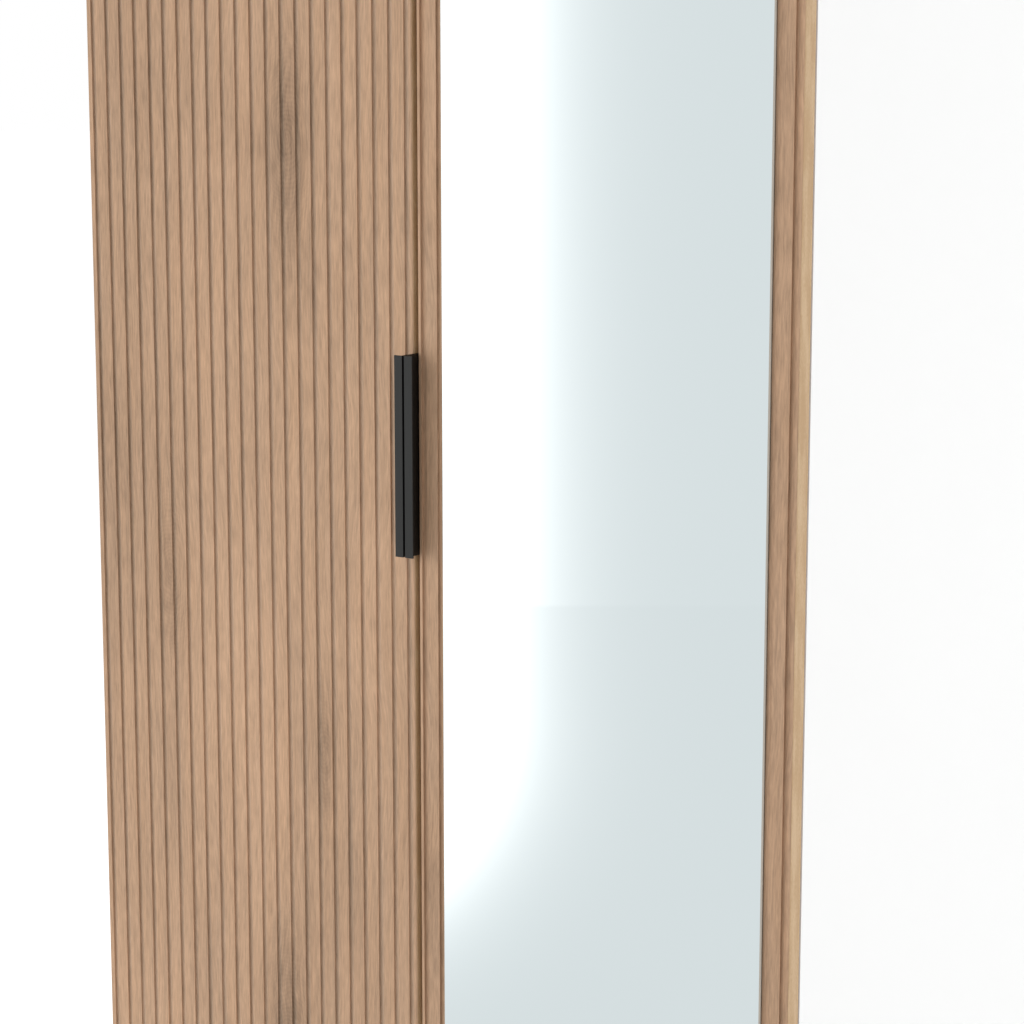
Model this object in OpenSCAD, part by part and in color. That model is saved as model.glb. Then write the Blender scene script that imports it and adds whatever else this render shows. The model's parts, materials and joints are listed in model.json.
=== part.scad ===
// Two-door wardrobe with a ribbed door, a mirror door and edge-pull handles.
// Origin: centre of the footprint on the floor. +X is to the right, +Y to the back, +Z up.

/* [Overall] */
// Width over the side panels
overall_w = 768; // [600:1:900]
// Height from the floor to the top of the top panel
overall_h = 1970; // [1800:1:2200]
// Depth of the side panels
carcass_d = 510; // [420:1:600]
// Thickness of the side, top, base and shelf boards
board_t = 18; // [16:0.5:22]

/* [Carcass] */
// Height of the plinth under the base board
plinth_h = 80; // [60:1:120]
// Setback of the front plinth from the side panels' front edges
plinth_setback = 25; // [15:1:50]
// Height of each glide under the side panels
glide_h = 5; // [3:0.5:10]
// Radius of each glide
glide_r = 7; // [5:0.5:7.5]
// Distance of the glides from the side panels' front and rear edges
glide_inset = 40; // [25:1:80]
// Distance from the upper shelf's underside to the top of the side panels
shelf_drop = 302; // [250:1:400]
// Thickness of the back panels
back_t = 3; // [2.5:0.1:4]
// Setback of the back panels from the rear edges
back_setback = 8; // [6:0.5:12]
// Depth of the grooves that hold the back panels
back_groove = 5; // [3:0.5:8]
// Width of the joining strip between the two back panels
joiner_w = 16; // [12:1:24]
// Thickness of the joining strip's walls
joiner_t = 0.8; // [0.6:0.1:1]

/* [Doors] */
// Thickness of each door
door_t = 18; // [16:0.5:22]
// Gap between the doors and the side panels
door_gap = 1.5; // [1.5:0.1:3]
// Gap between the two doors
meeting_gap = 5.1; // [4:0.1:6]
// Gap above the doors
door_top_gap = 3; // [2:0.5:5]
// Height of the doors' lower edges above the underside of the base board
door_lift = 2; // [0:0.5:4]
// Radius of the doors' vertical edges
edge_r = 1.5; // [0.5:0.1:2.5]
// Number of grooves across a door
groove_n = 22; // [16:1:26]
// Width of each groove
groove_w = 5.4; // [3:0.1:6]
// Depth of each groove
groove_d = 2.2; // [1.5:0.1:3]
// Width of the plain strip along the ribbed door's outer edge
outer_strip = 5.5; // [3:0.1:8]
// Width of the plain strip along the ribbed door's meeting edge
inner_strip = 3.5; // [3:0.1:8]
// Number of grooves before the rib that is wider than the others
wide_rib = 4; // [1:1:15]
// Extra width of that rib
wide_extra = 0.9; // [0:0.1:3]

/* [Mirror door] */
// Width of the plain strip at each side of the door
frame_strip = 3.4; // [3:0.1:8]
// Width of the rib at each side of the mirror
frame_rib = 12; // [8:0.5:30]
// Thickness of the mirror
mirror_t = 3.2; // [3:0.1:5]
// Gap between the mirror and the walls of its recess
mirror_gap = 5.5; // [2:0.1:7]
// Height of plain door left above and below the mirror's recess
mirror_margin = 22; // [15:1:60]
// Chamfer along the mirror's front edges
mirror_chamfer = 0.5; // [0.2:0.1:1]

/* [Handles] */
// Length of each handle
handle_len = 180; // [120:1:300]
// Height of the handles' middle above the floor
handle_z = 1060; // [900:1:1200]
// Distance that each handle stands out in front of its door
handle_reach = 18.9; // [15:0.1:30]
// Thickness of the handles' metal
handle_t = 1.4; // [1:0.1:1.5]
// Width of the front lip
lip_w = 8.4; // [7:0.1:12]
// Width of the flange behind the door
flange_w = 16; // [14:0.5:20]
// Number of screws in each handle
handle_screw_n = 3; // [2:1:5]

/* [Hinges] */
// Number of hinges on each door
hinge_n = 4; // [3:1:5]
// Distance from a door's ends to its outer hinges
hinge_inset = 100; // [80:1:200]
// Radius of the cup
cup_r = 17.5; // [15:0.5:17.5]
// Distance from a door's outer edge to the cup
cup_edge = 5; // [4.5:0.1:6]
// Thickness of the cup's steel
cup_t = 0.9; // [0.7:0.1:1]
// Depth of the pivot in front of the door's rear face
pivot_v = 9; // [8.5:0.1:9.5]
// Radius of the hinge pin
pin_r = 1.5; // [1.2:0.1:1.6]
// Radius of the arm's knuckle
knuckle_r = 2.4; // [2.2:0.1:2.5]
// Height of the hinge arm
arm_w = 10; // [8:0.5:12]
// Thickness of the hinge arm
arm_t = 3; // [2.5:0.1:3.2]
// Distance from the side panels' front edges to the mounting plates' screws
plate_setback = 37; // [32:1:45]
// Thickness of the mounting plates' wings
plate_t = 2; // [1.5:0.1:3]
// Width of the mounting plates' wings
plate_w = 16; // [12:0.5:20]
// Height of the mounting plates
plate_h = 48; // [44:1:60]
// Length of the mounting plates' bosses
boss_len = 40; // [30:1:50]
// Width of the mounting plates' bosses
boss_w = 14; // [11:0.5:16]
// Height of the boss that carries the arm
boss_t = 4; // [3:0.1:6]
// Height of the cup's flange
cup_flange_h = 58; // [54:1:64]

/* [Hanging rail] */
// Outer radius of the hanging rail
rail_r = 12.5; // [10:0.5:16]
// Wall of the hanging rail
rail_wall = 1.2; // [0.8:0.1:2]
// Distance from the shelf's underside to the rail's axis
rail_drop = 60; // [45:1:90]

/* [Fixings] */
// Radius of the cam locks
cam_r = 7.4; // [6:0.1:7.4]
// Distance from a board's end to its cam locks
cam_inset = 34; // [30:1:40]
// Distance from a board's front and rear edges to its fixings
fixing_inset = 60; // [45:1:100]
// Radius of the wooden dowels
dowel_r = 4; // [3:0.5:4]
// Length of the wooden dowels
dowel_len = 30; // [25:1:40]
// Distance between the two wall brackets
bracket_gap = 500; // [300:1:600]
// Radius of the wall brackets' bolt holes
bracket_hole_r = 2.75; // [2:0.05:4]

/* [Hidden] */
$fn = 48;
oak = "#BE9D82";
white = "#F4F4F2";
steel = "#B8BABD";
black = "#2A2A2A";

// Small clearances
fit = 0.05;              // around a fixing in its hole
run = 0.3;               // between parts that move past each other
cut = 1;                 // how far a cutter passes its face

// Fasteners
cam_h = 12.4;
cap_t = 1;
cap_r = cam_r + 1.2;
bolt_r = 2.5;
bolt_grip = 10.5;
bolt_shank_r = 2.9;
bolt_head_r = 3.4;
bolt_head_t = 3;
bolt_bore_r = 4;
dowel_grip = 10;
dowel_shift = 32;
screw_r = 1.5;
screw_head_r = 3;
screw_head_t = 1.6;
screw_len = 10;
bracket_w = 30;
bracket_t = 2;
bracket_leg = 40;
back_hole_r = 5;
socket_base_t = 3;
socket_depth = 12;
socket_wall = 2.5;
socket_ear = 34;
joint_slack = 0.3;
glide_pin_r = 2;
glide_pin_h = 12;
ear_screw_y = (rail_r + socket_wall + socket_ear) / 2;

// Depth positions
overall_d = handle_reach + door_t + door_gap + carcass_d;
back_y = overall_d / 2;
carcass_y = back_y - carcass_d;
door_rear_y = carcass_y - door_gap;
door_y = door_rear_y - door_t;
handle_y = door_y - handle_reach;
panel_y = back_y - back_setback - back_t;
board_rear_y = panel_y - joiner_t - run;

// Width and height positions
inner_w = overall_w - 2 * board_t;
side_top = overall_h - board_t;
shelf_z = side_top - shelf_drop;
door_w = (overall_w - meeting_gap) / 2;
door_bottom = plinth_h + door_lift;
door_top = side_top - door_top_gap;
door_h = door_top - door_bottom;
hinge_step = (door_h - 2 * hinge_inset) / (hinge_n - 1);
groove_pitch = (door_w - outer_strip - inner_strip - wide_extra - groove_w) / (groove_n - 1);
front_fix_y = carcass_y + fixing_inset;
rear_fix_y = board_rear_y - fixing_inset;
rail_z = shelf_z - rail_drop;
rail_y = (carcass_y + board_rear_y) / 2;
plinth_dowel_z = (glide_h + plinth_h) / 2;
bracket_hole_z = side_top - bracket_leg + 16;

// Pivot: as far in from the door's edge as its rear corner's swing allows
pivot_u = sqrt(pow(pivot_v + door_gap - run, 2) - pow(pivot_v, 2));
cup_u = cup_edge + cup_r;
cup_d = pivot_v + knuckle_r + run + cup_t;
slot_h = arm_w + 2 * (run + cup_t);
slot_u = pivot_u - knuckle_r - run;
arm_u = board_t + boss_t;
arm_end = door_gap + plate_setback + plate_w / 2 + 4;
cup_screw_z = cup_flange_h / 2 - screw_head_r - 2;
cup_screw_u = cup_u + 6;
cup_flange_u = [cup_edge + 1, cup_screw_u + 8];
plate_screw_z = plate_h / 2 - screw_head_r - 5;

// Mirror recess, between the ribs at the two sides of the mirror door
recess_x = frame_strip + groove_w + frame_rib;
recess_w = door_w - 2 * recess_x;
mirror_w = recess_w - 2 * mirror_gap;
mirror_h = door_h - 2 * mirror_margin - 2 * mirror_gap;

// Rounded rectangle with its lower left corner at the origin
module round_rect(w, d, r) {
    translate([r, 0]) square([w - 2 * r, d]);
    translate([0, r]) square([w, d - 2 * r]);
    for (x = [r, w - r], y = [r, d - r])
        translate([x, y]) circle(r);
}

// Right-hand copy of a left-hand part
module right_hand() {
    mirror([1, 0, 0]) children();
}

// Places where two boards meet, with +X into the board that holds the cam lock
module at_board_joints(shift = 0) {
    for (side = [-1, 1], y = [front_fix_y + shift, rear_fix_y - shift]) {
        for (z = [plinth_h + board_t / 2, shelf_z + board_t / 2])
            translate([side * inner_w / 2, y, z])
                rotate([180, 0, side > 0 ? 180 : 0])
                    children();
        translate([side * (inner_w + board_t) / 2, y, side_top])
            rotate([0, 90, side > 0 ? 180 : 0])
                children();
    }
}

// Places where the plinths meet the side panels
module at_plinth_joints() {
    for (side = [-1, 1], y = [carcass_y + plinth_setback + board_t / 2, board_rear_y - board_t / 2])
        translate([side * inner_w / 2, y, plinth_dowel_z])
            rotate([0, 0, side > 0 ? 180 : 0])
                children();
}

module dowel(r = dowel_r - fit, extra = 0) {
    translate([-dowel_grip - extra, 0, 0])
        rotate([0, 90, 0])
            cylinder(r = r, h = dowel_len + 2 * extra);
}

// Holes for a cam lock, its bolt and a dowel, as cut in both boards
module cam_holes() {
    translate([cam_inset, 0, board_t / 2 - cam_h - fit])
        cylinder(r = cam_r + fit, h = cam_h + cut);
    rotate([0, 90, 0]) cylinder(r = bolt_bore_r, h = cam_inset);
    translate([-bolt_grip - fit, 0, 0])
        rotate([0, 90, 0])
            cylinder(r = bolt_r + fit, h = bolt_grip + cut);
}

module all_fixing_holes() {
    at_board_joints() cam_holes();
    at_board_joints(dowel_shift) dowel(dowel_r, joint_slack);
    at_plinth_joints() dowel(dowel_r, joint_slack);
}

module at_hinges() {
    for (i = [0 : hinge_n - 1])
        translate([-overall_w / 2, door_rear_y, door_bottom + hinge_inset + i * hinge_step])
            children();
}

// Hinge cup's outline: a round cup with a slot out to the pivot
module cup_solid(grow, depth) {
    translate([cup_u, 0, 0]) rotate([90, 0, 0]) cylinder(r = cup_r + grow, h = depth);
    translate([slot_u - grow, -depth, -slot_h / 2 - grow])
        cube([cup_u - slot_u, depth, slot_h + 2 * grow]);
}

module cup_flange() {
    translate([cup_flange_u[0], 0, -cup_flange_h / 2])
        cube([cup_flange_u[1] - cup_flange_u[0], cup_t, cup_flange_h]);
}

module at_cup_screws() {
    for (z = [-cup_screw_z, cup_screw_z])
        translate([cup_screw_u, 0, z]) rotate([-90, 0, 0]) children();
}

module at_plate_screws() {
    for (z = [-plate_screw_z, plate_screw_z])
        translate([board_t, door_gap + plate_setback, z]) rotate([0, 90, 0]) children();
}

// ---- Carcass ----

module side_panel() {
    difference() {
        translate([-overall_w / 2, carcass_y, glide_h])
            cube([board_t, carcass_d, side_top - glide_h]);
        translate([-inner_w / 2 - back_groove, panel_y - joint_slack / 2, glide_h - cut])
            cube([back_groove + cut, back_t + joint_slack, side_top]);
        all_fixing_holes();
        at_hinges() at_plate_screws() translate([0, 0, -screw_len])
            cylinder(r = screw_r + fit, h = screw_len + cut);
        at_rail_ends() at_socket_screws() translate([0, 0, -screw_len])
            cylinder(r = screw_r + fit, h = screw_len + cut);
        at_glides() translate([0, 0, glide_h - fit]) cylinder(r = glide_pin_r + fit, h = glide_pin_h + 2 * fit);
    }
}

module side_left() {
    color(white) side_panel();
}

module side_right() {
    color(white) right_hand() side_panel();
}

module top_panel() {
    color(white) difference() {
        translate([-overall_w / 2, door_y, side_top])
            cube([overall_w, back_y - door_y, board_t]);
        translate([-inner_w / 2 - back_groove, panel_y - joint_slack / 2, side_top - cut])
            cube([inner_w + 2 * back_groove, back_t + joint_slack, back_groove + cut]);
        all_fixing_holes();
        at_brackets() translate([0, -bracket_leg / 2, -bracket_t]) at_screw_up()
            cylinder(r = screw_r + fit, h = screw_len + cut);
    }
}

module inner_board(z) {
    difference() {
        translate([-inner_w / 2, carcass_y, z])
            cube([inner_w, board_rear_y - carcass_y, board_t]);
        all_fixing_holes();
    }
}

module base_panel() {
    color(white) inner_board(plinth_h);
}

module upper_shelf() {
    color(white) inner_board(shelf_z);
}

module plinth(y) {
    difference() {
        translate([-inner_w / 2, y, glide_h]) cube([inner_w, board_t, plinth_h - glide_h]);
        at_plinth_joints() dowel(dowel_r, joint_slack);
    }
}

module plinth_front() {
    color(white) plinth(carcass_y + plinth_setback);
}

module plinth_rear() {
    color(white) plinth(board_rear_y - board_t);
}

// One sheet of the back, from the groove in a side panel to the joining strip
module back_sheet() {
    x = -inner_w / 2 - back_groove + joint_slack;
    difference() {
        translate([x, panel_y, glide_h + joint_slack])
            cube([-joiner_t / 2 - joint_slack / 2 - x, back_t, side_top + back_groove - 2 * joint_slack - glide_h]);
        translate([-bracket_gap / 2, panel_y - cut, bracket_hole_z])
            rotate([-90, 0, 0]) cylinder(r = back_hole_r, h = back_t + 2 * cut);
    }
}

module back_left() {
    color(white) back_sheet();
}

module back_right() {
    color(white) right_hand() back_sheet();
}

module back_joiner() {
    strip_h = side_top - glide_h - joint_slack;
    color(white) translate([0, 0, glide_h + joint_slack / 2]) linear_extrude(strip_h) {
        for (y = [panel_y - joiner_t, panel_y + back_t])
            translate([-joiner_w / 2, y]) square([joiner_w, joiner_t]);
        translate([-joiner_t / 2, panel_y - joiner_t]) square([joiner_t, back_t + 2 * joiner_t]);
    }
}

module at_glides() {
    for (side = [-1, 1], y = [carcass_y + glide_inset, back_y - glide_inset])
        translate([side * (overall_w - board_t) / 2, y, 0]) children();
}

module glides() {
    color(black) at_glides() {
        cylinder(r = glide_r, h = glide_h);
        cylinder(r = glide_pin_r, h = glide_h + glide_pin_h);
    }
}

module dowels() {
    color("#C9A36B") {
        at_board_joints(dowel_shift) dowel();
        at_plinth_joints() dowel();
    }
}

module cam_bolts() {
    color(steel) at_board_joints() rotate([0, 90, 0]) {
        translate([0, 0, -bolt_grip]) cylinder(r = bolt_r, h = bolt_grip + cut);
        cylinder(r = bolt_shank_r, h = cam_inset - cam_r);
        cylinder(r = bolt_r, h = cam_inset);
        translate([0, 0, cam_inset - bolt_head_t]) cylinder(r = bolt_head_r, h = bolt_head_t);
    }
}

module cam_locks() {
    color(steel) at_board_joints() difference() {
        translate([cam_inset, 0, board_t / 2 - cam_h]) cylinder(r = cam_r, h = cam_h);
        rotate([0, 90, 0]) cylinder(r = bolt_bore_r, h = cam_inset + joint_slack);
    }
}

module cam_caps() {
    color(white) at_board_joints()
        translate([cam_inset, 0, board_t / 2]) cylinder(r = cap_r, h = cap_t);
}

// ---- Hanging rail ----

module at_rail_ends() {
    for (side = [-1, 1])
        translate([side * inner_w / 2, rail_y, rail_z])
            rotate([0, side < 0 ? 90 : -90, 0])
                children();
}

module at_socket_screws() {
    for (y = [-1, 1])
        translate([0, y * ear_screw_y, 0]) children();
}

module hanging_rail() {
    rail_len = inner_w - 2 * socket_base_t - 2 * joint_slack;
    color(steel) translate([-rail_len / 2, rail_y, rail_z]) rotate([0, 90, 0]) difference() {
        cylinder(r = rail_r, h = rail_len);
        translate([0, 0, -cut]) cylinder(r = rail_r - rail_wall, h = rail_len + 2 * cut);
    }
}

module rail_sockets() {
    color(steel) at_rail_ends() difference() {
        union() {
            cylinder(r = rail_r + socket_wall, h = socket_depth);
            translate([-rail_r, -socket_ear, 0]) cube([2 * rail_r, 2 * socket_ear, socket_base_t]);
        }
        translate([0, 0, socket_base_t]) cylinder(r = rail_r + fit, h = socket_depth);
        at_socket_screws() translate([0, 0, -cut]) cylinder(r = screw_r + fit, h = socket_base_t + 2 * cut);
    }
}

module rail_screws() {
    color(steel) at_rail_ends() at_socket_screws() {
        translate([0, 0, -screw_len]) cylinder(r = screw_r, h = screw_len + socket_base_t);
        translate([0, 0, socket_base_t]) cylinder(r = screw_head_r, h = screw_head_t);
    }
}

// ---- Wall brackets ----

module at_brackets() {
    for (side = [-1, 1])
        translate([side * bracket_gap / 2, panel_y, side_top]) children();
}

module at_screw_up() {
    for (x = [-8, 8])
        translate([x, 0, 0]) children();
}

module wall_brackets() {
    color(steel) at_brackets() difference() {
        union() {
            translate([-bracket_w / 2, -bracket_t, -bracket_leg]) cube([bracket_w, bracket_t, bracket_leg]);
            translate([-bracket_w / 2, -bracket_leg, -bracket_t]) cube([bracket_w, bracket_leg, bracket_t]);
        }
        translate([0, -bracket_t - cut, bracket_hole_z - side_top])
            rotate([-90, 0, 0]) cylinder(r = bracket_hole_r, h = bracket_t + 2 * cut);
        translate([0, -bracket_leg / 2, -bracket_t - cut]) at_screw_up()
            cylinder(r = screw_r + fit, h = bracket_t + 2 * cut);
    }
}

module bracket_screws() {
    color(steel) at_brackets() translate([0, -bracket_leg / 2, -bracket_t]) at_screw_up() {
        cylinder(r = screw_r, h = screw_len);
        translate([0, 0, -screw_head_t]) cylinder(r = screw_head_r, h = screw_head_t);
    }
}

// ---- Doors ----

// Distance of a groove from the ribbed door's outer edge
function groove_x(i) = outer_strip + i * groove_pitch + (i < wide_rib ? 0 : wide_extra);

// Outline of a door seen from above, with its outer edge at x = 0 and its front at y = 0
module door_outline(grooves) {
    difference() {
        round_rect(door_w, door_t, edge_r);
        for (x = grooves)
            translate([x, -cut]) square([groove_w, groove_d + cut]);
    }
}

module door_holes() {
    at_hinges() cup_solid(fit, cup_d + fit);
    at_hinges() at_cup_screws() translate([0, 0, -screw_len])
        cylinder(r = screw_r + fit, h = screw_len + cut);
    at_handle_screws() translate([0, 0, -screw_len])
        cylinder(r = screw_r + fit, h = screw_len + cut);
}

module door_blank(grooves) {
    translate([-overall_w / 2, door_y, door_bottom]) linear_extrude(door_h) door_outline(grooves);
}

module door_left() {
    color(oak) difference() {
        door_blank([for (i = [0 : groove_n - 1]) groove_x(i)]);
        door_holes();
    }
}

module door_right() {
    color(oak) right_hand() difference() {
        door_blank([frame_strip, door_w - frame_strip - groove_w]);
        door_holes();
        translate([recess_x - overall_w / 2, door_y - cut, door_bottom + mirror_margin])
            cube([recess_w, groove_d + cut, door_h - 2 * mirror_margin]);
        for (x = [recess_x, recess_x + recess_w - groove_w])
            translate([x - overall_w / 2, door_y - cut, door_bottom - cut])
                cube([groove_w, groove_d + cut, door_h + 2 * cut]);
    }
}

module mirror_sheet() {
    translate([-mirror_w / 2, 0, 0]) linear_extrude(mirror_h) polygon([
        [0, mirror_t], [0, mirror_chamfer], [mirror_chamfer, 0],
        [mirror_w - mirror_chamfer, 0], [mirror_w, mirror_chamfer], [mirror_w, mirror_t]
    ]);
}

module mirror_glass() {
    mirror_x = overall_w / 2 - recess_x - recess_w / 2;
    color("#D5DEE0") translate([mirror_x, door_y + groove_d - mirror_t, door_bottom + mirror_margin + mirror_gap])
        mirror_sheet();
}

// Buffers on the rear of a door, behind the base board's and the shelf's front edges
module buffer_pair() {
    buffer_r = 4;
    for (z = [plinth_h + board_t / 2, shelf_z + board_t / 2])
        translate([-meeting_gap / 2 - 20, door_rear_y, z])
            rotate([-90, 0, 0]) cylinder(r = buffer_r, h = door_gap - run);
}

module buffers_left() {
    color(white) buffer_pair();
}

module buffers_right() {
    color(white) right_hand() buffer_pair();
}

// ---- Handles ----

module at_handle_screws() {
    first = handle_z - handle_len / 2 + 20;
    step = (handle_len - 40) / (handle_screw_n - 1);
    for (i = [0 : handle_screw_n - 1])
        translate([-meeting_gap / 2 - flange_w / 2, door_rear_y, first + i * step])
            rotate([-90, 0, 0]) children();
}

module handle() {
    web_x = -meeting_gap / 2;
    difference() {
        translate([0, 0, handle_z - handle_len / 2]) linear_extrude(handle_len) {
            translate([web_x, handle_y]) square([handle_t, handle_reach + door_t + handle_t]);
            translate([web_x + handle_t - lip_w, handle_y]) square([lip_w, handle_t]);
            translate([web_x - flange_w, door_rear_y]) square([flange_w + handle_t, handle_t]);
        }
        at_handle_screws() translate([0, 0, -cut]) cylinder(r = screw_r + fit, h = handle_t + 2 * cut);
    }
}

module handle_left() {
    color(black) handle();
}

module handle_right() {
    color(black) right_hand() handle();
}

module handle_screw_set() {
    at_handle_screws() {
        translate([0, 0, -screw_len]) cylinder(r = screw_r, h = screw_len + handle_t);
        translate([0, 0, handle_t]) cylinder(r = screw_head_r, h = screw_head_t);
    }
}

module handle_screws_left() {
    color(steel) handle_screw_set();
}

module handle_screws_right() {
    color(steel) right_hand() handle_screw_set();
}

// ---- Hinges ----

module hinge_cups() {
    at_hinges() difference() {
        union() {
            cup_solid(0, cup_d);
            cup_flange();
        }
        translate([0, cut, 0]) cup_solid(-cup_t, cup_d - cup_t + cut);
        translate([slot_u - cut, -cup_d + cup_t, -slot_h / 2 + cup_t])
            cube([cup_u - slot_u, cup_d + cut, slot_h - 2 * cup_t]);
        translate([pivot_u, -pivot_v, -slot_h]) cylinder(r = pin_r + fit / 2, h = 2 * slot_h);
        at_cup_screws() translate([0, 0, -cut]) cylinder(r = screw_r + fit, h = cup_t + 2 * cut);
    }
}

module hinge_cups_left() {
    color(steel) hinge_cups();
}

module hinge_cups_right() {
    color(steel) right_hand() hinge_cups();
}

module hinge_pins() {
    at_hinges() translate([pivot_u, -pivot_v, -slot_h / 2]) cylinder(r = pin_r, h = slot_h);
}

module hinge_pins_left() {
    color(steel) hinge_pins();
}

module hinge_pins_right() {
    color(steel) right_hand() hinge_pins();
}

module cup_screw_set() {
    at_hinges() at_cup_screws() {
        translate([0, 0, -screw_len]) cylinder(r = screw_r, h = screw_len + cup_t);
        translate([0, 0, cup_t]) cylinder(r = screw_head_r, h = screw_head_t);
    }
}

module cup_screws_left() {
    color(steel) cup_screw_set();
}

module cup_screws_right() {
    color(steel) right_hand() cup_screw_set();
}

// Cranked arm from the pin, round the side panel's front edge, to the mounting plate
module hinge_arms() {
    at_hinges() translate([0, 0, -arm_w / 2]) difference() {
        union() {
            translate([pivot_u, -pivot_v, 0]) cylinder(r = knuckle_r, h = arm_w);
            translate([pivot_u, -pivot_v - arm_t / 2, 0]) cube([arm_u + arm_t - pivot_u, arm_t, arm_w]);
            translate([arm_u, -pivot_v - arm_t / 2, 0]) cube([arm_t, pivot_v + arm_t / 2 + arm_end, arm_w]);
        }
        translate([pivot_u, -pivot_v, -cut]) cylinder(r = pin_r + fit, h = arm_w + 2 * cut);
    }
}

module hinge_arms_left() {
    color(steel) hinge_arms();
}

module hinge_arms_right() {
    color(steel) right_hand() hinge_arms();
}

module hinge_plates() {
    at_hinges() difference() {
        union() {
            translate([board_t, door_gap + plate_setback - plate_w / 2, -plate_h / 2])
                cube([plate_t, plate_w, plate_h]);
            translate([board_t, door_gap + plate_setback - boss_len / 2, -boss_w / 2])
                cube([boss_t, boss_len, boss_w]);
        }
        at_plate_screws() translate([0, 0, -cut]) cylinder(r = screw_r + fit, h = plate_t + 2 * cut);
    }
}

module hinge_plates_left() {
    color(steel) hinge_plates();
}

module hinge_plates_right() {
    color(steel) right_hand() hinge_plates();
}

module plate_screw_set() {
    at_hinges() at_plate_screws() {
        translate([0, 0, -screw_len]) cylinder(r = screw_r, h = screw_len + plate_t);
        translate([0, 0, plate_t]) cylinder(r = screw_head_r, h = screw_head_t);
    }
}

module plate_screws_left() {
    color(steel) plate_screw_set();
}

module plate_screws_right() {
    color(steel) right_hand() plate_screw_set();
}

side_left();
side_right();
top_panel();
base_panel();
upper_shelf();
plinth_front();
plinth_rear();
back_left();
back_right();
back_joiner();
glides();
dowels();
cam_bolts();
cam_locks();
cam_caps();
hanging_rail();
rail_sockets();
rail_screws();
wall_brackets();
bracket_screws();
hinge_plates_left();
hinge_plates_right();
hinge_arms_left();
hinge_arms_right();
plate_screws_left();
plate_screws_right();
door_left();
hinge_cups_left();
hinge_pins_left();
cup_screws_left();
handle_left();
handle_screws_left();
buffers_left();
door_right();
mirror_glass();  // mirror
hinge_cups_right();
hinge_pins_right();
cup_screws_right();
handle_right();
handle_screws_right();
buffers_right();
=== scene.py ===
import json
import math

import bmesh
import bpy
from mathutils import Matrix, Vector


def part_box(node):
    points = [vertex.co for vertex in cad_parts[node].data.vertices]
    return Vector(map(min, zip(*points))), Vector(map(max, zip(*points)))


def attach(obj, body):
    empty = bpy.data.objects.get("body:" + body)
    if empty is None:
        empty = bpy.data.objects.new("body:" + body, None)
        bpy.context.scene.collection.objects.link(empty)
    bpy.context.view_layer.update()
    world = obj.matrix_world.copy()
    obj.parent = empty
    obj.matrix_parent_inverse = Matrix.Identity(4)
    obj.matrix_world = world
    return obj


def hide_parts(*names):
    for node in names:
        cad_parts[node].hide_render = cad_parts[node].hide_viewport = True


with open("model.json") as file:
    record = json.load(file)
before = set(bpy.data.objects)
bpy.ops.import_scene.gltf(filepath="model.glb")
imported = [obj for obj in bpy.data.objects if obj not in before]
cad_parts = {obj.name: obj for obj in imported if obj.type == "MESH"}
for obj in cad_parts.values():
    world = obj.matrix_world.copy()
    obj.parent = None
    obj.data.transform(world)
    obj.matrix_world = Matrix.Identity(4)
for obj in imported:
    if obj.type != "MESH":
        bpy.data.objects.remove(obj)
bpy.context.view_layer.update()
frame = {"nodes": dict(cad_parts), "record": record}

# ---- Places taken from the frame, in metres ----

DOOR_LOW, DOOR_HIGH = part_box("door_left")
DOOR_FRONT = DOOR_LOW.y
HALF_WIDTH = -DOOR_LOW.x
MEETING_EDGE = -DOOR_HIGH.x
MIRROR_LOW, MIRROR_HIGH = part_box("mirror")
HANDLE_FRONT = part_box("handle_left")[0].y

# ---- Sizes of the new pieces, in metres ----

# The mirror sheet's left and right edges, each this far to the left of the CAD glass, and its ground edge
SHEET_LEFT = 0.0004
SHEET_RIGHT = 0.0005
GROUND_EDGE = 0.0011

# Pan-head screws
SCREW_HEAD_R = 0.0030
SCREW_HEAD_H = 0.0016
SCREW_R = 0.0015
# Any screw's head: cross, rim and shoulder as shares of its radius, then depths as shares of its height
CROSS_SHARE = 0.60
RIM_SHARE = 0.72
SHOULDER_SHARE = 0.90
CROSS_DEPTH = 0.70
RIM_DROP = 0.14
SHOULDER_DROP = 0.36
SIDE_DROP = 0.50
# Width of the cross at its floor as a share of its width at its mouth, and how many sides the head has
CROSS_FLOOR = 0.6
HEAD_SIDES = 24
# The point of any screw: its length and its blunt end, as shares of the shank's radius
POINT_LONG = 2.0
POINT_BLUNT = 0.15

# Short screws in each hinge arm, this far in front of the arm's rear end
ARM_SCREWS_FORWARD = (0.007, 0.026)
ARM_SCREW_PROUD = 0.0011
ARM_SCREW_LONG = 0.0030
ARM_SCREW_HEAD_R = 0.0032
ARM_SCREW_HEAD_H = 0.0010
ARM_SCREW_R = 0.0019
# Pressed rib of each hinge arm, from and to this far in front of the arm's rear end
ARM_RIB_FORWARD = (0.0335, 0.0480)
ARM_RIB_HALF_HIGH = 0.0022
ARM_RIB_SUNK = 0.0005
ARM_RIB_PROUD = 0.0006
ARM_RIB_ROUND = 0.0004

# ---- Camera ----

CAMERA_PLACE = Vector((1.4364, DOOR_FRONT - 1.9353, 1.4230))
CAMERA_YAW = math.radians(34.561)
CAMERA_PITCH = math.radians(9.765)
SENSOR = 36.0
LENS = 96.44


def add_camera():
    data = bpy.data.cameras.new("camera")
    data.sensor_width = SENSOR
    data.lens = LENS
    camera = bpy.data.objects.new("camera", data)
    camera.location = CAMERA_PLACE
    camera.rotation_euler = (math.pi / 2 - CAMERA_PITCH, 0, CAMERA_YAW)
    bpy.context.scene.collection.objects.link(camera)
    bpy.context.scene.camera = camera


# ---- Node helpers ----

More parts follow.
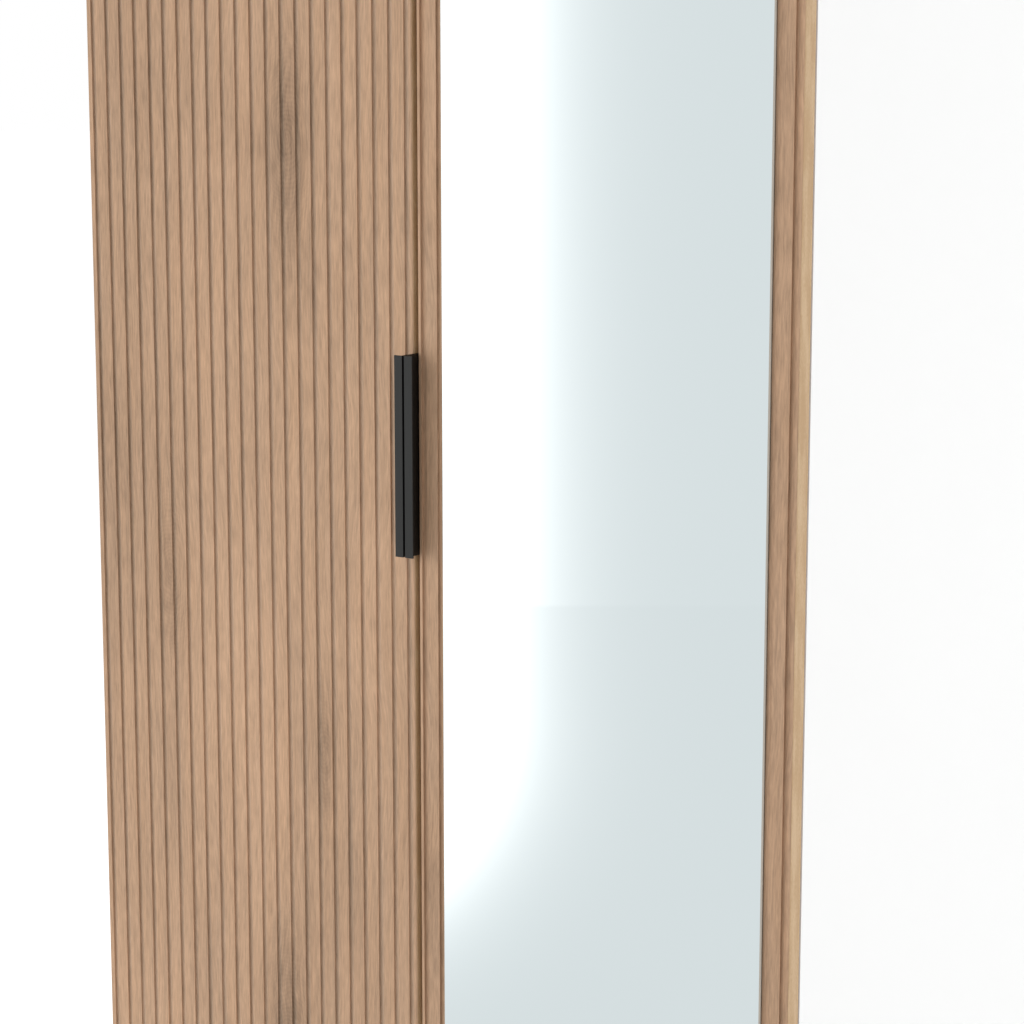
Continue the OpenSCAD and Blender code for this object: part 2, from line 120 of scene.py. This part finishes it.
class Nodes:
    """Short ways to add nodes to one node tree."""

    def __init__(self, tree):
        self.tree = tree

    def add(self, kind, **settings):
        node = self.tree.nodes.new(kind)
        for key, value in settings.items():
            setattr(node, key, value)
        return node

    def feed(self, socket, source):
        if hasattr(source, "is_output"):
            self.tree.links.new(source, socket)
        else:
            socket.default_value = source

    def math(self, operation, a, b=0.0, c=0.0):
        node = self.add("ShaderNodeMath", operation=operation)
        for socket, value in zip(node.inputs, (a, b, c)):
            self.feed(socket, value)
        return node.outputs[0]

    def ramp(self, value, low, high, to_low=0.0, to_high=1.0):
        """A soft step from to_low to to_high as the value goes from low to high."""
        node = self.add("ShaderNodeMapRange", interpolation_type="SMOOTHSTEP")
        for socket, source in zip(node.inputs, (value, low, high, to_low, to_high)):
            self.feed(socket, source)
        return node.outputs[0]

    def split(self, vector):
        node = self.add("ShaderNodeSeparateXYZ")
        self.feed(node.inputs[0], vector)
        return node.outputs

    def join(self, x=0.0, y=0.0, z=0.0):
        node = self.add("ShaderNodeCombineXYZ")
        for socket, value in zip(node.inputs, (x, y, z)):
            self.feed(socket, value)
        return node.outputs[0]

    def noise(self, vector, scale, detail=3.0, roughness=0.55):
        node = self.add("ShaderNodeTexNoise")
        self.feed(node.inputs["Vector"], vector)
        node.inputs["Scale"].default_value = scale
        node.inputs["Detail"].default_value = detail
        node.inputs["Roughness"].default_value = roughness
        return node.outputs["Fac"]

    def blend(self, factor, a, b, mode="MIX"):
        node = self.add("ShaderNodeMix", data_type="RGBA", blend_type=mode)
        self.feed(node.inputs["Factor"], factor)
        for socket, value in ((node.inputs[6], a), (node.inputs[7], b)):
            self.feed(socket, (*value, 1) if isinstance(value, tuple) else value)
        return node.outputs[2]

    def lit(self, colour, level):
        """A colour times a number."""
        node = self.add("ShaderNodeVectorMath", operation="SCALE")
        self.feed(node.inputs[0], colour)
        self.feed(node.inputs["Scale"], level)
        return node.outputs[0]

    def scaled(self, vector, x=1.0, y=1.0, z=1.0):
        node = self.add("ShaderNodeMapping")
        self.feed(node.inputs["Vector"], vector)
        node.inputs["Scale"].default_value = (x, y, z)
        return node.outputs[0]


class Finish(Nodes):
    """One material and its shader."""

    def __init__(self, name, colour=(0.8, 0.8, 0.8), roughness=0.5, metallic=0.0, **sockets):
        self.material = bpy.data.materials.new(name)
        self.material.use_nodes = True
        super().__init__(self.material.node_tree)
        self.shader = self.tree.nodes["Principled BSDF"]
        self.shader.inputs["Base Color"].default_value = (*colour, 1)
        self.shader.inputs["Roughness"].default_value = roughness
        self.shader.inputs["Metallic"].default_value = metallic
        for socket, value in sockets.items():
            self.shader.inputs[socket.replace("_", " ")].default_value = value
        self.object_place = self.add("ShaderNodeTexCoord").outputs["Object"]

    def bump(self, height, distance, strength=1.0):
        node = self.add("ShaderNodeBump")
        self.feed(node.inputs["Height"], height)
        node.inputs["Distance"].default_value = distance
        node.inputs["Strength"].default_value = strength
        self.feed(self.shader.inputs["Normal"], node.outputs[0])

    def colour(self, source):
        self.feed(self.shader.inputs["Base Color"], source)

    def roughness(self, source):
        self.feed(self.shader.inputs["Roughness"], source)


def tinted(colour, tint):
    return tuple(channel * share for channel, share in zip(colour, tint))


# ---- Oak foil ----

OAK_FACE = (0.467, 0.297, 0.187)
OAK_COOL = (0.97, 1.01, 1.06)
OAK_WARM = (1.03, 0.99, 0.94)
OAK_BAND_LIGHT = (0.600, 0.430, 0.265)
OAK_BAND_DARK = (0.500, 0.330, 0.185)
# Painted light down in the left door's grooves, a lighter and cooler tint on the foil, and the depths where
# it starts and is full
GROOVE_PAINTED_LIGHT = (1.01, 1.11, 1.21)
GROOVE_LIGHT_DEPTHS = (0.0002, 0.0022)
OAK_LEVEL = 1.03
RIGHT_DOOR_TONE = -0.03
PORE_TONE = -0.09
# The grain moves across by this share of the depth, so that it also runs over the groove walls
GRAIN_TURN = 0.8
# How much of each door the edge banding covers at its outer edge and at its meeting edge
BAND_OUTER = 0.0006
BAND_MEETING = 0.0003

# Dark and light figure in the oak: place across and up the doors, half width, half height, depth of tone
FIGURE = (
    (-0.143, 1.335, 0.020, 0.082, 0.350),
    (-0.185, 1.330, 0.020, 0.020, 0.080),
    (-0.154, 0.485, 0.022, 0.085, 0.360),
    (-0.293, 0.925, 0.016, 0.070, 0.190),
    (-0.108, 0.768, 0.0085, 0.055, 0.270),
    (-0.074, 0.667, 0.013, 0.055, 0.080),
    (-0.119, 1.200, 0.010, 0.090, 0.035),
    (-0.374, 0.945, 0.020, 0.100, 0.060),
    (-0.360, 1.200, 0.060, 0.500, 0.060),
    (0.015, 0.665, 0.008, 0.035, 0.110),
    (-0.229, 0.860, 0.045, 0.100, -0.080),
    (-0.350, 0.470, 0.050, 0.080, -0.110),
    (-0.313, 1.390, 0.045, 0.100, 0.100),
    (-0.352, 1.055, 0.030, 0.090, 0.120),
    (-0.051, 1.000, 0.030, 0.110, -0.110),
    (-0.188, 0.720, 0.030, 0.170, -0.100),
    (-0.300, 0.692, 0.008, 0.060, 0.110),
    (-0.099, 0.668, 0.020, 0.050, 0.060),
    (0.013, 1.070, 0.010, 0.070, -0.110),
    (0.015, 0.625, 0.011, 0.070, 0.110),
    (0.360, 0.590, 0.012, 0.080, 0.080),
    (0.365, 1.100, 0.020, 0.550, 0.035),
)
# How fast the figure fades away from its middle
FIGURE_FADE = -0.7
# Figure deeper than this is a knot: it bends the grain and has fine rings
KNOT_DEPTH = 0.15
KNOT_BEND = 0.6
# Radians of ring pattern per metre across from a knot's middle, and the share of that along the height
RING_TURNS = 2400.0
RING_STRETCH = 0.6
RING_WOBBLE = 20.0
RING_TONE = 0.040


def oak_figure(oak, x, z):
    """Depth of tone, sideways bend and rings of the figure."""
    shade = 0.0
    bend = 0.0
    rings = 0.0
    wobble = oak.math("MULTIPLY", oak.noise(oak.scaled(oak.object_place, z=0.5), 60, 2.0), RING_WOBBLE)
    for place_x, place_z, half_w, half_h, depth in FIGURE:
        dx = oak.math("DIVIDE", oak.math("SUBTRACT", x, place_x), half_w)
        dz = oak.math("DIVIDE", oak.math("SUBTRACT", z, place_z), half_h)
        far = oak.math("MULTIPLY_ADD", dz, dz, oak.math("MULTIPLY", dx, dx))
        bell = oak.math("EXPONENT", oak.math("MULTIPLY", far, FIGURE_FADE))
        shade = oak.math("MULTIPLY_ADD", bell, depth, shade)
        if depth > KNOT_DEPTH:
            bend = oak.math("MULTIPLY_ADD", oak.math("MULTIPLY", bell, dx), half_w * KNOT_BEND, bend)
            side = oak.math("MULTIPLY", dx, half_w * RING_TURNS)
            rise = oak.math("MULTIPLY", dz, half_h * RING_TURNS * RING_STRETCH)
            squared = oak.math("MULTIPLY_ADD", side, side, oak.math("MULTIPLY", rise, rise))
            wave = oak.math("SINE", oak.math("ADD", oak.math("SQRT", squared), wobble))
            rings = oak.math("MULTIPLY_ADD", oak.math("MULTIPLY", bell, wave), RING_TONE, rings)
    return shade, bend, rings


def edge_banding(oak):
    """Speckled light wood of the strips on the doors' long edges."""
    knots = oak.noise(oak.scaled(oak.object_place, z=0.18), 110, 3.0)
    speckle = oak.noise(oak.scaled(oak.object_place, z=0.25), 1300, 2.0)
    mix = oak.math("MULTIPLY_ADD", speckle, 0.35, oak.math("MULTIPLY", knots, 0.65))
    return oak.blend(oak.ramp(mix, 0.36, 0.62), OAK_BAND_LIGHT, OAK_BAND_DARK)


def oak_foil():
    oak = Finish("oak_foil", roughness=0.5, Specular_IOR_Level=0.25)
    x, y, z = oak.split(oak.object_place)
    shade, bend, rings = oak_figure(oak, x, z)

    # Grain, from broad patches to fine fibres, drawn out along the height
    across = oak.math("MULTIPLY_ADD", y, GRAIN_TURN, x)
    drift = oak.noise(oak.join(across, 0.0, z), 3.5, 2.0)
    grain_x = oak.math("MULTIPLY_ADD", drift, 0.04, oak.math("SUBTRACT", across, bend))
    grain = oak.join(grain_x, 0.0, z)
    long_grain = oak.scaled(grain, z=0.05)
    fine_grain = oak.scaled(grain, z=0.08)
    patches = oak.noise(oak.scaled(grain, z=0.3), 18, 2.0)
    streaks = oak.noise(long_grain, 90, 3.0)
    strands = oak.noise(long_grain, 240, 2.0)
    fibres = oak.noise(fine_grain, 560, 3.0, 0.65)
    pores = oak.ramp(oak.noise(long_grain, 1500, 1.0), 0.60, 0.75)
    tone = rings
    for layer, strength in ((patches, 0.18), (streaks, 0.34), (strands, 0.40), (fibres, 0.98)):
        tone = oak.math("MULTIPLY_ADD", oak.math("SUBTRACT", layer, 0.5), strength, tone)
    tone = oak.math("MULTIPLY_ADD", pores, PORE_TONE, tone)
    tone = oak.math("SUBTRACT", tone, shade)
    tone = oak.math("MULTIPLY_ADD", oak.ramp(x, -0.02, 0.02), RIGHT_DOOR_TONE, tone)
    level = oak.math("ADD", tone, OAK_LEVEL)

    warmth = oak.noise(fine_grain, 60, 2.0)
    base = oak.blend(warmth, tinted(OAK_FACE, OAK_COOL), tinted(OAK_FACE, OAK_WARM))
    depth = oak.math("SUBTRACT", y, DOOR_FRONT)
    # Painted light: the foil is made lighter and cooler down in the left door's grooves
    groove_light = oak.math("MULTIPLY", oak.ramp(depth, *GROOVE_LIGHT_DEPTHS), oak.math("LESS_THAN", x, 0.0))
    face = oak.lit(oak.blend(groove_light, base, GROOVE_PAINTED_LIGHT, "MULTIPLY"), level)

    from_middle = oak.math("ABSOLUTE", x)
    outer = oak.math("GREATER_THAN", from_middle, HALF_WIDTH - BAND_OUTER)
    meeting = oak.math("LESS_THAN", from_middle, MEETING_EDGE + BAND_MEETING)
    oak.colour(oak.blend(oak.math("MAXIMUM", outer, meeting), face, edge_banding(oak)))
    oak.bump(oak.math("MULTIPLY_ADD", pores, -0.5, fibres), 0.00015, 0.4)
    return oak.material


# ---- Other finishes ----

def white_board():
    board = Finish("white_board", (0.92, 0.92, 0.915), 0.42, Specular_IOR_Level=0.25)
    peel = board.noise(board.object_place, 900, 2.0)
    tint = board.noise(board.object_place, 6, 2.0)
    board.colour(board.blend(tint, (0.915, 0.915, 0.91), (0.925, 0.925, 0.92)))
    board.roughness(board.ramp(peel, 0.3, 0.7, 0.38, 0.46))
    board.bump(peel, 0.0001, 0.25)
    return board.material


def back_sheet_white():
    sheet = Finish("back_sheet_white", (0.84, 0.84, 0.83), 0.6)
    fibre = sheet.noise(sheet.object_place, 700, 4.0)
    sheet.colour(sheet.blend(fibre, (0.82, 0.82, 0.81), (0.86, 0.86, 0.85)))
    sheet.bump(fibre, 0.0002, 0.3)
    return sheet.material


def moulded(name, colour, roughness):
    """Finely grained plastic or paint."""
    plastic = Finish(name, colour, roughness)
    grain = plastic.noise(plastic.object_place, 2500, 2.0)
    deeper = tinted(colour, (0.9, 0.9, 0.9))
    plastic.colour(plastic.blend(grain, deeper, colour))
    plastic.bump(grain, 0.00008, 0.3)
    return plastic.material


# Depths behind the handle's front where painted shade starts to darken the coat inside the profile, and
# where painted shade makes it dark at the foot
INSIDE_SHADE_DEPTHS = (0.0002, 0.0016)
FOOT_SHADE_DEPTHS = (0.0080, 0.0185)
# Share of the coat's colour that is left under the painted shade inside the profile
INSIDE_SHADE_SHARE = 0.38


def black_coat():
    """Fine black powder coat, darkened by painted shade deep inside the profile and at its foot."""
    coat = Finish("black_coat", (0.02, 0.02, 0.02), 0.45, Specular_IOR_Level=0.35)
    grit = coat.noise(coat.object_place, 2600, 3.0)
    depth = coat.math("SUBTRACT", coat.split(coat.object_place)[1], HANDLE_FRONT)
    # Painted shade: the coat's colour is darkened with depth inside the profile and at its foot
    inside_shade = coat.ramp(depth, *INSIDE_SHADE_DEPTHS, 1.0, INSIDE_SHADE_SHARE)
    foot_shade = coat.ramp(depth, *FOOT_SHADE_DEPTHS, 1.0, 0.0)
    coated = coat.blend(grit, (0.0178, 0.0173, 0.0162), (0.0246, 0.0237, 0.0223))
    coat.colour(coat.lit(coated, coat.math("MULTIPLY", inside_shade, foot_shade)))
    coat.roughness(coat.ramp(grit, 0.3, 0.7, 0.38, 0.5))
    coat.bump(grit, 0.00008, 0.35)
    return coat.material


def plated(name, colour, roughness, along=(1, 1, 1)):
    """Bright metal, brushed along the axis whose share is small."""
    metal = Finish(name, colour, roughness, 1.0)
    brushed = metal.noise(metal.scaled(metal.object_place, *along), 1800, 3.0)
    darker = tinted(colour, (0.88, 0.88, 0.88))
    metal.colour(metal.blend(brushed, darker, colour))
    metal.roughness(metal.ramp(brushed, 0.3, 0.7, roughness * 0.8, roughness * 1.25))
    metal.bump(brushed, 0.00005, 0.2)
    return metal.material


def beech():
    wood = Finish("beech", roughness=0.6)
    fleck = wood.noise(wood.scaled(wood.object_place, x=0.1), 1200, 3.0)
    wood.colour(wood.blend(fleck, (0.50, 0.33, 0.18), (0.66, 0.47, 0.27)))
    wood.bump(fleck, 0.0001, 0.4)
    return wood.material


def silvering():
    silver = Finish("silvering", (0.93, 0.96, 0.965), 0.0, 1.0)
    cloud = silver.noise(silver.object_place, 3, 2.0)
    silver.colour(silver.blend(cloud, (0.925, 0.957, 0.962), (0.935, 0.963, 0.968)))
    return silver.material


# Depth behind the glass's front where painted shade of the recess starts to darken its ground edge, and the
# share of colour left at its back
EDGE_SHADE_FROM = 0.0009
EDGE_BACK_SHADE = 0.10


def glass_edge():
    """Ground edge of the glass, warm beige partly as a painted reflection of the oak beside it: light at the
    front corner and darkened towards the backing paint by painted shade of the recess.
    """
    edge = Finish("glass_edge", (0.45, 0.42, 0.36), 0.25)
    grind = edge.noise(edge.scaled(edge.object_place, z=0.2), 900, 3.0)
    # Pale ground glass, warmed by a painted reflection of the oak
    ground_and_reflection = edge.blend(grind, (0.54, 0.49, 0.42), (0.64, 0.59, 0.51))
    place_y = edge.split(edge.object_place)[1]
    # Painted shade of the recess: the edge darkens from the front corner towards the back
    depth = edge.ramp(place_y, MIRROR_LOW.y + EDGE_SHADE_FROM, MIRROR_HIGH.y, 1.0, EDGE_BACK_SHADE)
    edge.colour(edge.lit(ground_and_reflection, depth))
    return edge.material


# ---- New pieces ----

def new_piece(name, make_mesh, materials, body, replaced=()):
    mesh = bpy.data.meshes.new(name)
    shape = bmesh.new()
    make_mesh(shape)
    shape.to_mesh(mesh)
    shape.free()
    for material in materials:
        mesh.materials.append(material)
    piece = bpy.data.objects.new(name, mesh)
    bpy.context.scene.collection.objects.link(piece)
    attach(piece, body)
    if replaced:
        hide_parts(*replaced)


def block(shape, low, high):
    """Adds a box between two corners and returns its vertices."""
    low, high = Vector(low), Vector(high)
    matrix = Matrix.Translation((low + high) / 2) @ Matrix.Diagonal((*(high - low), 1))
    return bmesh.ops.create_cube(shape, size=1.0, matrix=matrix)["verts"]


def mirror_sheet(shape):
    """The glass with its ground front edge; materials are silvering, glass edge and backing paint."""
    block(shape, MIRROR_LOW - Vector((SHEET_LEFT, 0, 0)), MIRROR_HIGH - Vector((SHEET_RIGHT, 0, 0)))
    front = [e for e in shape.edges if all(v.co.y < MIRROR_LOW.y + 1e-6 for v in e.verts)]
    bmesh.ops.bevel(
        shape, geom=front, offset=GROUND_EDGE, segments=1, profile=0.5,
        affect="EDGES", material=-1,
    )
    for face in shape.faces:
        face.material_index = 1
        if face.normal.y < -0.99:
            face.material_index = 0
        if face.normal.y > 0.99:
            face.material_index = 2


def edges_of(verts):
    """The edges at these vertices, each once."""
    return list(dict.fromkeys(edge for vert in verts for edge in vert.link_edges))


def solid_boxes(name):
    """Lowest and highest corner of each separate solid of a frame node."""
    shape = bmesh.new()
    shape.from_mesh(frame["nodes"][name].data)
    bmesh.ops.remove_doubles(shape, verts=shape.verts, dist=1e-6)
    waiting = dict.fromkeys(shape.verts)
    boxes = []
    while waiting:
        reached = [waiting.popitem()[0]]
        for vert in reached:
            for edge in vert.link_edges:
                other = edge.other_vert(vert)
                if other in waiting:
                    del waiting[other]
                    reached.append(other)
        corners = [vert.co for vert in reached]
        low = Vector(min(c[i] for c in corners) for i in range(3))
        high = Vector(max(c[i] for c in corners) for i in range(3))
        boxes.append((low, high))
    shape.free()
    return boxes


def step_out(shape, ring, radius_scale, rise):
    """Extrudes a ring of edges up or down, scales it and returns the new ring."""
    made = bmesh.ops.extrude_edge_only(shape, edges=ring)["geom"]
    verts = [g for g in made if isinstance(g, bmesh.types.BMVert)]
    bmesh.ops.scale(shape, verts=verts, vec=(radius_scale, radius_scale, 1))
    bmesh.ops.translate(shape, verts=verts, vec=(0, 0, rise))
    edges = [g for g in made if isinstance(g, bmesh.types.BMEdge)]
    return [edge for edge in edges if all(vert in verts for vert in edge.verts)]


def cross_recess(shape, arm, depth):
    """A cross-shaped recess that opens upwards at height 0."""
    grid = bmesh.ops.create_grid(shape, x_segments=3, y_segments=3, size=arm)["verts"]
    faces = list(dict.fromkeys(face for vert in grid for face in vert.link_faces))
    corners = []
    for face in faces:
        middle = face.calc_center_median()
        if min(abs(middle.x), abs(middle.y)) > arm / 3:
            corners.append(face)
    cross = [face for face in faces if face not in corners]
    bmesh.ops.delete(shape, geom=corners, context="FACES")
    made = bmesh.ops.extrude_face_region(shape, geom=cross)["geom"]
    deep = [g for g in made if isinstance(g, bmesh.types.BMVert)]
    bmesh.ops.scale(shape, verts=deep, vec=(CROSS_FLOOR, CROSS_FLOOR, 1))
    bmesh.ops.translate(shape, verts=deep, vec=(0, 0, -depth))
    bmesh.ops.delete(shape, geom=cross, context="FACES_ONLY")


def cross_screw(shape, top, tip, head_r, shank_r, head_h):
    """A pan-head screw with a cross recess, from the top of its head to its tip."""
    before = set(shape.verts)
    cross_recess(shape, head_r * CROSS_SHARE, head_h * CROSS_DEPTH)
    new_verts = [vert for vert in shape.verts if vert not in before]
    recess = [edge for edge in edges_of(new_verts) if edge.is_boundary]
    disc = bmesh.ops.create_circle(shape, segments=HEAD_SIDES, radius=head_r * RIM_SHARE)["verts"]
    ring = edges_of(disc)
    bmesh.ops.bridge_loops(shape, edges=recess + ring)
    point = POINT_LONG * shank_r
    length = (top - tip).length
    profile = (
        (SHOULDER_SHARE / RIM_SHARE, -RIM_DROP * head_h),
        (1 / SHOULDER_SHARE, -SHOULDER_DROP * head_h),
        (1.0, -SIDE_DROP * head_h),
        (shank_r / head_r, 0.0),
        (1.0, head_h + point - length),
        (POINT_BLUNT, -point),
    )
    for radius_scale, rise in profile:
        ring = step_out(shape, ring, radius_scale, rise)
    bmesh.ops.contextual_create(shape, geom=ring)
    screw = [vert for vert in shape.verts if vert not in before]
    turn = (top - tip).to_track_quat("Z", "Y").to_matrix().to_4x4()
    bmesh.ops.transform(shape, matrix=Matrix.Translation(top) @ turn, verts=screw)


def screw_set(name, axis, head_side):
    """Screws in the places of a frame node's solids.

    head_side is 1 or -1 along the axis, or 0 for a head that faces the middle of the wardrobe.
    """
    def make(shape):
        for low, high in solid_boxes(name):
            middle = (low + high) / 2
            top, tip = middle.copy(), middle.copy()
            side = head_side or (-1 if middle.x > 0 else 1)
            top[axis] = high[axis] if side > 0 else low[axis]
            tip[axis] = low[axis] if side > 0 else high[axis]
            cross_screw(shape, top, tip, SCREW_HEAD_R, SCREW_R, SCREW_HEAD_H)
        bmesh.ops.recalc_face_normals(shape, faces=shape.faces)
    return make


def arm_trim(name):
    """Fixing screw, adjusting screw and pressed rib on the inner side of each hinge arm."""
    def make(shape):
        for low, high in solid_boxes(name):
            side = 1 if low.x < 0 else -1
            face_x = high.x if side > 0 else low.x
            mid_z = (low.z + high.z) / 2
            for forward in ARM_SCREWS_FORWARD:
                top = Vector((face_x + side * ARM_SCREW_PROUD, high.y - forward, mid_z))
                tip = top - Vector((side * ARM_SCREW_LONG, 0, 0))
                cross_screw(shape, top, tip, ARM_SCREW_HEAD_R, ARM_SCREW_R, ARM_SCREW_HEAD_H)
            near_x, far_x = sorted((face_x - side * ARM_RIB_SUNK, face_x + side * ARM_RIB_PROUD))
            rib_low = (near_x, high.y - ARM_RIB_FORWARD[1], mid_z - ARM_RIB_HALF_HIGH)
            rib_high = (far_x, high.y - ARM_RIB_FORWARD[0], mid_z + ARM_RIB_HALF_HIGH)
            rib = block(shape, rib_low, rib_high)
            bmesh.ops.bevel(
                shape, geom=edges_of(rib), offset=ARM_RIB_ROUND, segments=2, profile=0.5,
                affect="EDGES", material=-1,
            )
        bmesh.ops.recalc_face_normals(shape, faces=shape.faces)
    return make


# ---- Stage ----

# Reflected surroundings. Across and up are slopes in the view of a mirror that faces -Y.
REFLECTED_GREY = (0.722, 0.770, 0.779)
# The soft white panel: its rounded corner's centre and radius, and how its light fades past the edge
PANEL_ACROSS = 0.9115
PANEL_UP = -0.296
PANEL_RADIUS = 0.251
PANEL_SQUASH = 1.4
PANEL_FADE = -46.0
PANEL_EDGE_LIGHT = 0.195
PANEL_MOST_LIGHT = 0.5
# The horizon: height, slope and half width of its soft line, and what lies below it
HORIZON_UP = -0.171
HORIZON_SLOPE = -0.1177
HORIZON_SOFT = 0.0012
BELOW_SHADE = -0.012
BELOW_SHIFT = 0.005
# X of a direction runs from -1 to 1. The reflected grey dims over this stretch, to this share on the right.
GREY_DIMS = (-0.1, 0.6)
GREY_RIGHT = 0.7
# Even light on the object. It grows over this stretch of X from the far left, where the key lamp adds to it.
LIGHT_GROWS = (-0.95, -0.25)
FAR_LEFT_LIGHT = 0.66
EVEN_LIGHT = 0.786
FLOOR_HALF_SIDE = 30.0
FLOOR_GLOW = 0.34


def studio_world():
    """White to the camera, even light, and a soft white panel to the front left in reflections."""
    world = bpy.data.worlds.new("studio")
    bpy.context.scene.world = world
    world.use_nodes = True
    sky = Nodes(world.node_tree)
    background = world.node_tree.nodes["Background"]
    x, y, z = sky.split(sky.add("ShaderNodeTexCoord").outputs["Generated"])

    forward = sky.math("MAXIMUM", sky.math("MULTIPLY", y, -1.0), 0.001)
    left = sky.math("DIVIDE", sky.math("MULTIPLY", x, -1.0), forward)
    up = sky.math("DIVIDE", z, forward)
    horizon = sky.math("MULTIPLY_ADD", left, HORIZON_SLOPE, HORIZON_UP)
    below = sky.ramp(sky.math("SUBTRACT", horizon, up), -HORIZON_SOFT, HORIZON_SOFT)

    right_of = sky.math("MAXIMUM", sky.math("SUBTRACT", PANEL_ACROSS, left), 0.0)
    under = sky.math("MAXIMUM", sky.math("SUBTRACT", PANEL_UP, up), 0.0)
    under = sky.math("MULTIPLY", under, PANEL_SQUASH)
    squared = sky.math("MULTIPLY_ADD", right_of, right_of, sky.math("MULTIPLY", under, under))
    reach = sky.math("SQRT", squared)
    beyond = sky.math("MULTIPLY_ADD", below, BELOW_SHIFT, sky.math("SUBTRACT", reach, PANEL_RADIUS))
    fade = sky.math("EXPONENT", sky.math("MULTIPLY", beyond, PANEL_FADE))
    glow = sky.math("MINIMUM", sky.math("MULTIPLY", fade, PANEL_EDGE_LIGHT), PANEL_MOST_LIGHT)

    floor_shade = sky.math("MULTIPLY_ADD", below, BELOW_SHADE, 1.0)
    shade = sky.math("MULTIPLY", sky.ramp(x, *GREY_DIMS, 1.0, GREY_RIGHT), floor_shade)
    grey = sky.blend(1.0, REFLECTED_GREY, shade, "MULTIPLY")
    reflected = sky.blend(1.0, grey, glow, "ADD")
    even = sky.ramp(x, *LIGHT_GROWS, FAR_LEFT_LIGHT, EVEN_LIGHT)
    rays = sky.add("ShaderNodeLightPath").outputs
    surroundings = sky.blend(rays["Is Glossy Ray"], even, reflected)
    sky.feed(background.inputs["Color"], sky.blend(rays["Is Camera Ray"], surroundings, (1.0, 1.0, 1.0)))
    background.inputs["Strength"].default_value = 1.0


def add_lamp(name, place, target, size, energy):
    data = bpy.data.lights.new(name, "AREA")
    data.shape = "RECTANGLE"
    data.size, data.size_y = size
    data.energy = energy
    lamp = bpy.data.objects.new(name, data)
    lamp.location = place
    lamp.rotation_euler = (Vector(target) - Vector(place)).to_track_quat("-Z", "Y").to_euler()
    lamp.visible_glossy = False
    bpy.context.scene.collection.objects.link(lamp)


def add_floor():
    """A pale floor that glows a little to the camera, so that it blends into the white background."""
    mesh = bpy.data.meshes.new("studio_floor")
    shape = bmesh.new()
    bmesh.ops.create_grid(shape, x_segments=1, y_segments=1, size=FLOOR_HALF_SIDE)
    shape.to_mesh(mesh)
    shape.free()
    floor = bpy.data.objects.new("studio_floor", mesh)
    bpy.context.scene.collection.objects.link(floor)
    paint = Finish("studio_floor", (0.9, 0.9, 0.9), 0.9, Specular_IOR_Level=0.0)
    paint.shader.inputs["Emission Color"].default_value = (1, 1, 1, 1)
    seen = paint.add("ShaderNodeLightPath").outputs["Is Camera Ray"]
    paint.feed(paint.shader.inputs["Emission Strength"], paint.math("MULTIPLY", seen, FLOOR_GLOW))
    mesh.materials.append(paint.material)
    floor.visible_glossy = False


# ---- Making the scene ----

bpy.context.scene.view_settings.view_transform = "Standard"
add_camera()
studio_world()
add_lamp("key", place=(-2.45, -2.75, 1.5), target=(0, -0.2, 1.0), size=(1.6, 2.2), energy=43.8)
add_lamp("right_fill", place=(3.4, 0.75, 1.1), target=(0.38, 0.1, 1.1), size=(1.5, 2.2), energy=29.8)
add_lamp("top_fill", place=(0, 0.5, 4.6), target=(0, 0.2, 2), size=(1.5, 1.5), energy=14)
add_lamp("back_fill", place=(-1.2, 3.6, 1.2), target=(0, 0.27, 1.0), size=(1.5, 2.2), energy=20)
add_floor()

FINISHES = {
    "white_board": white_board(),
    "back_sheet": back_sheet_white(),
    "white_plastic": moulded("white_plastic", (0.85, 0.85, 0.84), 0.45),
    "black_plastic": moulded("black_plastic", (0.03, 0.03, 0.03), 0.5),
    "beech": beech(),
    "soft_buffer": moulded("soft_buffer", (0.75, 0.75, 0.74), 0.3),
    "oak_front": oak_foil(),
    "mirror_glass": silvering(),
    "black_metal": black_coat(),
    "chrome_rail": plated("chrome_rail", (0.80, 0.80, 0.82), 0.12, (0.05, 1, 1)),
    "plated_steel": plated("plated_steel", (0.62, 0.62, 0.63), 0.3),
}
for part in frame["record"]["subparts"]:
    node = frame["nodes"][part["node"]]
    node.data.materials.clear()
    node.data.materials.append(FINISHES[part["material_slot"]])

new_piece(
    "mirror_sheet",
    mirror_sheet,
    (FINISHES["mirror_glass"], glass_edge(), moulded("mirror_backing", (0.25, 0.26, 0.28), 0.6)),
    "right_door",
    ("mirror",),
)

X, Y, Z = range(3)
# Screws: frame node, axis that they lie along, side that their heads face, body
SCREWS = (
    ("rail_screws", X, 0, "carcass"),
    ("bracket_screws", Z, -1, "carcass"),
    ("plate_screws_left", X, 0, "carcass"),
    ("plate_screws_right", X, 0, "carcass"),
    ("cup_screws_left", Y, 1, "left_door"),
    ("cup_screws_right", Y, 1, "right_door"),
    ("handle_screws_left", Y, 1, "left_door"),
    ("handle_screws_right", Y, 1, "right_door"),
)
STEEL = (FINISHES["plated_steel"],)
for node_name, axis, head_side, body in SCREWS:
    make_screws = screw_set(node_name, axis, head_side)
    new_piece("cross_" + node_name, make_screws, STEEL, body, (node_name,))
for hand in ("left", "right"):
    new_piece("hinge_arm_trim_" + hand, arm_trim("hinge_arms_" + hand), STEEL, "carcass")
